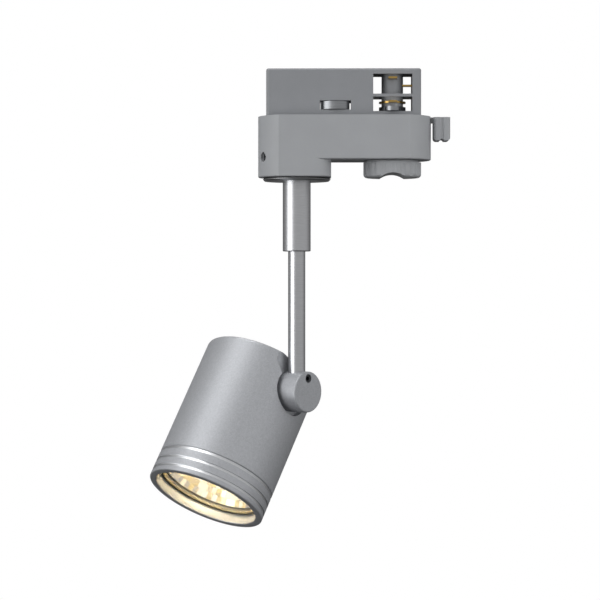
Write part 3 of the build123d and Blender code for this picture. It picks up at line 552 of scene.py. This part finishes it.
def makePanes(top):
    # rings of thin flat panes on the bowl's curve, every other ring turned by half a pane.
    # Each pane is a closed plate of its own, so it mirrors by itself and carries its own painted reflection.
    rows, columns = lamp["rings"], lamp["columns"]
    radius, height = bowlCurve(top, rows + 1)
    pitch = 2 * math.pi / columns
    row, column = (grid.ravel() for grid in np.meshgrid(np.arange(rows), np.arange(columns), indexing="ij"))
    start = (column + 0.5 * (row % 2)) * pitch
    layers = []
    for back in (0, lamp["pane"]):
        corners = []
        for up, over in ((0, 0), (1, 0), (1, 1), (0, 1)):
            angle, r = start + over * pitch, radius[row + up] + back
            z = height[row + up] - back / lamp["paneSlope"]
            corners.append(np.stack([r * np.cos(angle), r * np.sin(angle), z], axis=-1))
        corners = np.stack(corners, axis=1)
        middle = corners.mean(axis=1, keepdims=True)
        layers.append(middle + (corners - middle) * lamp["paneShare"])
    points = np.concatenate(layers, axis=1).reshape(-1, 3) * mm
    # front, back and four edges of one plate, then the same for every plate
    plate = np.array([(0, 1, 2, 3), (7, 6, 5, 4), (1, 0, 4, 5), (2, 1, 5, 6), (3, 2, 6, 7), (0, 3, 7, 4)])
    faces = (np.arange(rows * columns)[:, None, None] * 8 + plate).reshape(-1, 4)
    panes = makePiece("reflectorFacets", setDown(points, headAxes), [faces], "lamp", smooth=False)
    dress(panes, "reflector_coat")


def makeBowl(low, high, outer, top):
    # glass bowl behind the panes: two parabolas a wall apart, and the thick rim that holds the front glass
    radius, height = bowlCurve(top, lamp["bowlSteps"])
    inside, edge = lamp["neck"] + lamp["fit"], lamp["rimEdge"]
    outline = [(inside, low + lamp["neckEdge"]), (inside, low), (lamp["neckOuter"], low)]
    outline += [(r + lamp["wall"], h - lamp["wall"])
                for r, h in zip(radius[lamp["wallSteps"]], height[lamp["wallSteps"]])]
    rimLow, seat = high - lamp["rimHeight"], top + lamp["seat"]
    outline += [(outer - edge, rimLow), (outer, rimLow + edge), (outer, high - edge), (outer - edge, high),
                (lamp["rim"], high), (lamp["rim"], seat), (lamp["mouth"] + lamp["paneGap"], seat)]
    outline += [(r + lamp["paneGap"], h - lamp["paneDrop"]) for r, h in zip(radius[::-1], height[::-1])]
    bowl = turnedRing("reflectorBowl", outline, headAxes, "lamp", lamp["bowlSegments"])
    dress(bowl, "reflector_coat", "lamp_reflector")
    bowl.data.materials[0] = materials["rim_glass"]


def makeCapsule():
    # a short tube of quartz with a domed end: r cos(a) wide and domeShare r sin(a) high
    low = spanOf("lamp_capsule", headAxes)[0]
    r, end, foot = lamp["capsule"], low + lamp["capsuleEnd"], low + lamp["capsuleFoot"]
    rise = lamp["domeShare"] * r
    dome = np.linspace(0, math.pi / 2, lamp["domeSteps"], endpoint=False)
    outline = [(0, foot), (r, foot)]
    outline += [(r * math.cos(a), end + rise * math.sin(a)) for a in dome]
    outline.append((0, end + rise))
    capsule = turnedSolid("lampCapsule", outline, headAxes, "lamp", lamp["capsuleSegments"])
    dress(capsule, "capsule_glass", "lamp_capsule")


bowlLow, bowlHigh, bowlOuter = spanOf("lamp_reflector", headAxes)
bowlTop = bowlHigh - lamp["glass"]
makePanes(bowlTop)
makeBowl(bowlLow, bowlHigh, bowlOuter, bowlTop)
makeCapsule()
print("lamp made")

# Camera, in metres: straight ahead and a little to the right; fill is the object's share of the height.
view = {"distance": 0.957, "side": 0.0143, "height": -0.0762, "fill": 0.76, "sensor": 36, "clip": (0.01, 100)}


def addCamera():
    low, high = (np.array(corner) for corner in sizeStart)
    middle = (low + high) / 2
    eye = np.array([view["side"], -view["distance"], view["height"]])
    camera = bpy.data.cameras.new("camera")
    camera.sensor_width = view["sensor"]
    reach = np.linalg.norm(middle - eye)
    span = (high[2] - low[2]) / view["fill"]
    camera.lens = camera.sensor_width * reach / span
    camera.clip_start, camera.clip_end = view["clip"]
    holder = bpy.data.objects.new("camera", camera)
    bpy.context.scene.collection.objects.link(holder)
    holder.location = eye
    holder.rotation_euler = Vector(middle - eye).to_track_quat("-Z", "Y").to_euler()
    bpy.context.scene.camera = holder


def addLight(name, place, aim, size, watts, mirrored=True):
    light = bpy.data.lights.new(name, "AREA")
    light.shape, light.size, light.size_y = "RECTANGLE", size[0], size[1]
    light.energy = watts
    holder = bpy.data.objects.new(name, light)
    bpy.context.scene.collection.objects.link(holder)
    holder.location = place
    holder.rotation_euler = (Vector(aim) - Vector(place)).to_track_quat("-Z", "Y").to_euler()
    holder.visible_glossy = mirrored    # False: brightens matt faces, draws no stripe in the bright metal


# The room's brightness is a product of factors. Each is an axis of the direction looked in,
# the two ends it is read between, and its values there.
room = {"factors": (("X", (-0.9, 0.9), (0.6, 0.66)), ("Z", (-0.7, 0.0), (0.13, 1.0)),
                    ("Y", (-0.1, 0.8), (1.0, 0.28)))}
# White board far below, in metres.
board = {"half": 10.0, "drop": 2.6}


def roomLight(tree, axes):
    # grey room: slightly lighter on the right, darker below and behind
    factors = []
    for axis, ends, values in room["factors"]:
        factor = addNode(tree, "ShaderNodeMapRange", links={"Value": axes.outputs[axis]},
                         From_Min=ends[0], From_Max=ends[1], To_Min=values[0], To_Max=values[1])
        factors.append(factor.outputs[0])
    value = factors[0]
    for factor in factors[1:]:
        product = addNode(tree, "ShaderNodeMath", {"operation": "MULTIPLY"})
        tree.links.new(value, product.inputs[0])
        tree.links.new(factor, product.inputs[1])
        value = product.outputs[0]
    return value


def addWorld():
    # a white backdrop to the eye, and a grey room for light and reflections
    world = bpy.data.worlds.new("studio")
    bpy.context.scene.world = world
    world.use_nodes = True
    tree = world.node_tree
    seen = tree.nodes["Background"]
    seen.inputs[0].default_value = (1, 1, 1, 1)
    direction = addNode(tree, "ShaderNodeTexCoord").outputs["Generated"]
    axes = addNode(tree, "ShaderNodeSeparateXYZ", links={"Vector": direction})
    lighting = addNode(tree, "ShaderNodeBackground", links={"Strength": roomLight(tree, axes)})
    path = addNode(tree, "ShaderNodeLightPath")
    choose = addNode(tree, "ShaderNodeMixShader", links={"Fac": path.outputs["Is Camera Ray"]})
    tree.links.new(lighting.outputs[0], choose.inputs[1])
    tree.links.new(seen.outputs[0], choose.inputs[2])
    tree.links.new(choose.outputs[0], tree.nodes["World Output"].inputs["Surface"])


def addFloor():
    # the white board far below is seen, and throws no light back up at the lamp
    half, z = board["half"], -board["drop"]
    corners = [[-half, -half, z], [half, -half, z], [half, half, z], [-half, half, z]]
    mesh = bpy.data.meshes.new("floor")
    mesh.from_pydata(corners, [], [[0, 1, 2, 3]])
    floor = bpy.data.objects.new("floor", mesh)
    bpy.context.scene.collection.objects.link(floor)
    floor.visible_diffuse = floor.visible_glossy = False
    material, tree, shader, place = newMaterial("floor, white board")
    shader.inputs["Base Color"].default_value = linear("#ffffff")
    shader.inputs["Emission Color"].default_value = linear("#ffffff")
    shader.inputs["Emission Strength"].default_value = 1.0
    mesh.materials.append(material)


addCamera()
addWorld()
addFloor()
bpy.context.scene.view_settings.view_transform = "Standard"
# name, place, aim and size in metres, watts
addLight("leftSoftbox", (-1.05, -0.66, -0.12), (-0.02, 0, -0.14), (0.95, 1.1), 6.8)
addLight("frontRight", (0.92, -0.66, 0.0), (0, 0, -0.1), (0.6, 0.9), 5.5, mirrored=False)
addLight("upperLeft", (-0.55, -0.35, 0.75), (-0.02, 0, -0.1), (0.8, 0.8), 3)
addLight("topSpot", (-0.12, 0.08, 0.95), (-0.02, 0, -0.1), (0.5, 0.5), 4)
addLight("backLight", (0.2, 0.95, 0.6), (-0.02, 0, -0.1), (0.9, 0.45), 1.2)
print("camera, room and lights set")
